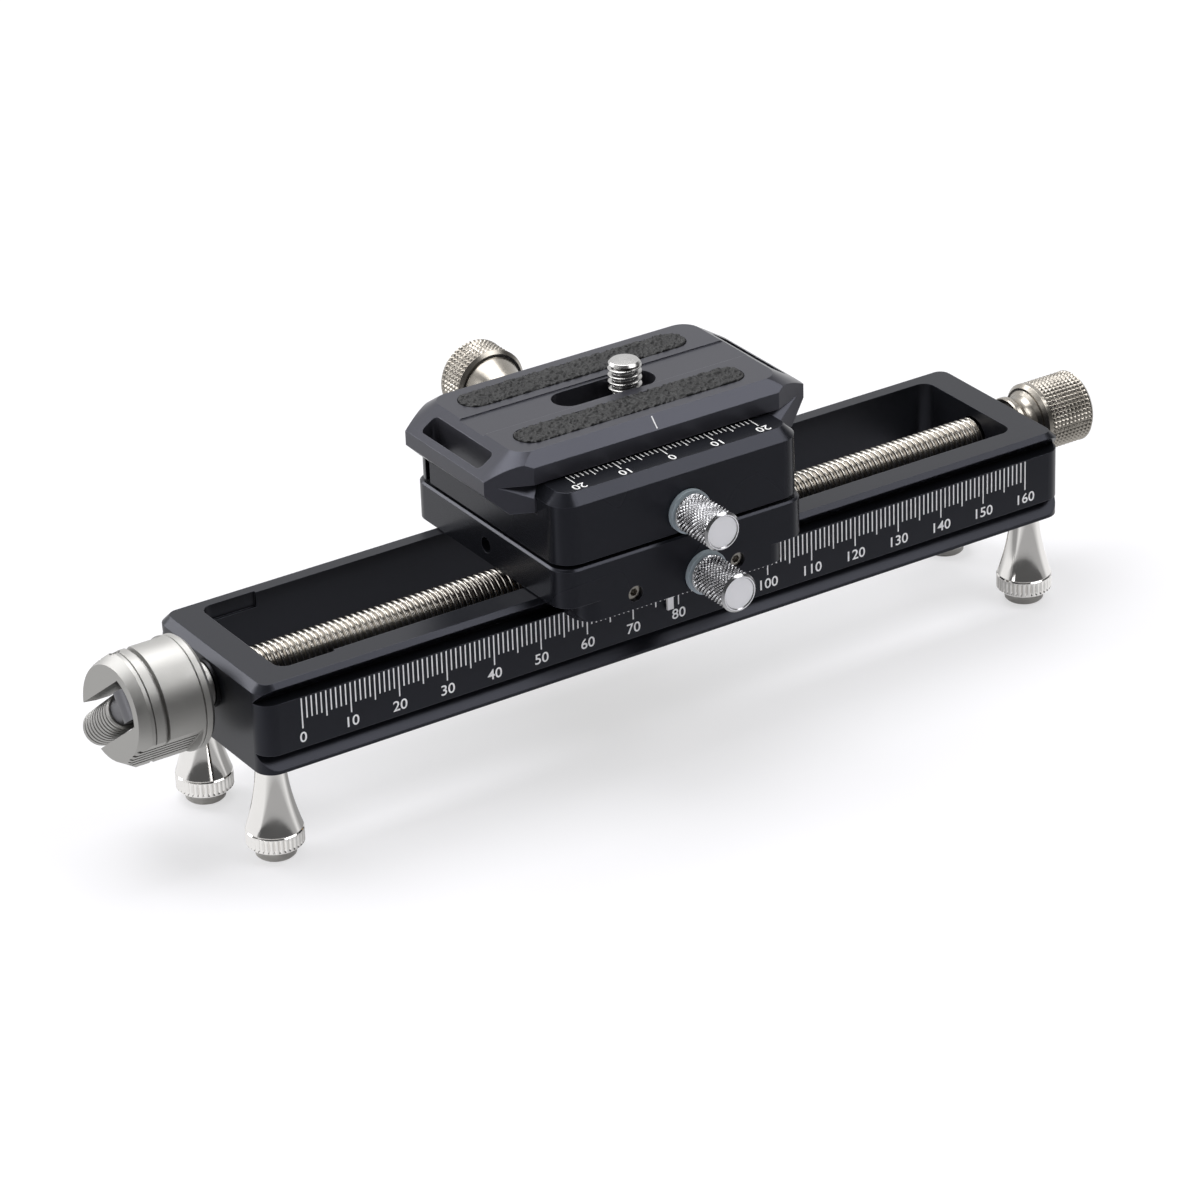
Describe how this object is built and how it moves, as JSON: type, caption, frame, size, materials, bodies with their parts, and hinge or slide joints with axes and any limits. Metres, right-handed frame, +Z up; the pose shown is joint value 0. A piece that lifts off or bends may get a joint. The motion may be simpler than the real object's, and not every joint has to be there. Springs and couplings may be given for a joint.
{
  "type": "macro focusing rail",
  "caption": "Screw-driven macro focusing rail on feet: crank and fine knobs move a carriage with a panning quick-release clamp and a sliding camera plate.",
  "frame": {"origin": "centre of the rail's underside, midway along its length", "axes": "+X along the rail towards the higher scale numbers, +Y to the back, +Z up"},
  "size_m": [0.2154, 0.0842, 0.0688],
  "materials": {
    "black_anodised": "fine bead-blasted black anodised",
    "plate_black": "satin black anodised",
    "satin_nickel": "satin",
    "knurled_steel": "knurled satin",
    "stainless": "bright machined",
    "bronze": "turned",
    "black_steel": "black oxide",
    "collar_plastic": "matt",
    "washer_plastic": "smooth",
    "pointer_white": "painted",
    "pad_rubber": "fine pebble texture",
    "foot_plastic": "moulded"
  },
  "bodies": {
    "rail": {"rail_frame": "black_anodised", "screw_bushes": "black_steel", "foot_posts": "stainless", "foot_pads": "foot_plastic"},
    "leadscrew": {"lead_screw": "stainless", "thrust_washers": "black_steel", "crank_knob": "satin_nickel", "fine_knob": "knurled_steel", "knob_set_screws": "black_steel", "crank_pin": "stainless"},
    "crank_arm": {"crank_hinge_block": "satin_nickel", "grip_screw": "stainless"},
    "crank_grip": {"crank_grip": "satin_nickel"},
    "carriage": {"carriage_body": "black_anodised", "drive_nut": "bronze", "nut_screws": "black_steel", "gib_strip": "bronze", "gib_set_screws": "bronze", "slide_lock_collar": "collar_plastic", "slide_lock_plug": "bronze", "scale_pointer": "pointer_white", "pan_washer": "washer_plastic", "pan_post": "stainless", "post_set_screw": "black_steel", "pan_cap": "stainless", "pan_screw": "black_steel"},
    "slide_lock": {"slide_lock_knob": "knurled_steel"},
    "clamp": {"clamp_body": "black_anodised", "pan_lock_collar": "collar_plastic", "pan_lock_plug": "bronze", "jaw_guide_pins": "stainless", "jaw_springs": "stainless"},
    "pan_lock": {"pan_lock_knob": "knurled_steel"},
    "jaw": {"clamp_jaw": "black_anodised", "jaw_washer": "stainless"},
    "jaw_turner": {"jaw_screw": "stainless", "jaw_knob": "knurled_steel"},
    "plate": {"plate_body": "plate_black", "grip_pads": "pad_rubber"},
    "camera_slider": {"screw_washer": "stainless"},
    "camera_turner": {"camera_screw": "stainless"}
  },
  "joints": [
    {"name": "carriage_slide", "type": "slide", "parent": "rail", "child": "carriage", "axis": [1, 0, 0], "range_m": [-0.059, 0.069]},
    {"name": "leadscrew_turn", "type": "hinge", "parent": "rail", "child": "leadscrew", "pos_m": [0, 0, 0.0112], "axis": [1, 0, 0], "range_deg": [-19902, 17022]},
    {"name": "crank_fold", "type": "hinge", "parent": "leadscrew", "child": "crank_arm", "pos_m": [-0.10535, -0.00331, 0.01379], "axis": [0, 0.6157, 0.788], "range_deg": [0, 90]},
    {"name": "grip_spin", "type": "hinge", "parent": "crank_arm", "child": "crank_grip", "pos_m": [-0.10535, 0.00299, 0.00886], "axis": [0, 0.788, -0.6157], "continuous": true},
    {"name": "slide_lock_turn", "type": "hinge", "parent": "carriage", "child": "slide_lock", "pos_m": [0.0011, -0.03, 0.0167], "axis": [0, 1, 0], "range_deg": [0, 180]},
    {"name": "pan_turn", "type": "hinge", "parent": "carriage", "child": "clamp", "pos_m": [-0.0028, 0, 0.0259], "axis": [0, 0, 1], "continuous": true},
    {"name": "pan_lock_turn", "type": "hinge", "parent": "clamp", "child": "pan_lock", "pos_m": [-0.0019, -0.03, 0.0298], "axis": [0, 1, 0], "range_deg": [0, 180]},
    {"name": "jaw_slide", "type": "slide", "parent": "clamp", "child": "jaw", "axis": [0, 1, 0], "range_m": [0, 0.0025]},
    {"name": "jaw_knob_turn", "type": "hinge", "parent": "jaw", "child": "jaw_turner", "pos_m": [-0.0028, 0.04, 0.0305], "axis": [0, 1, 0], "range_deg": [-10, 1135]},
    {"name": "plate_slide", "type": "slide", "parent": "clamp", "child": "plate", "axis": [1, 0, 0], "range_m": [-0.02, 0.02]},
    {"name": "camera_screw_slide", "type": "slide", "parent": "plate", "child": "camera_slider", "axis": [1, 0, 0], "range_m": [-0.0118, 0.0018]},
    {"name": "camera_screw_turn", "type": "hinge", "parent": "camera_slider", "child": "camera_turner", "pos_m": [0.0016, 0, 0.044], "axis": [0, 0, 1], "continuous": true}
  ],
  "couplings": [
    {"joint": "leadscrew_turn", "follows": "carriage_slide", "rad_per_m": -5026.5},
    {"joint": "jaw_knob_turn", "follows": "jaw_slide", "rad_per_m": 7854}
  ]
}
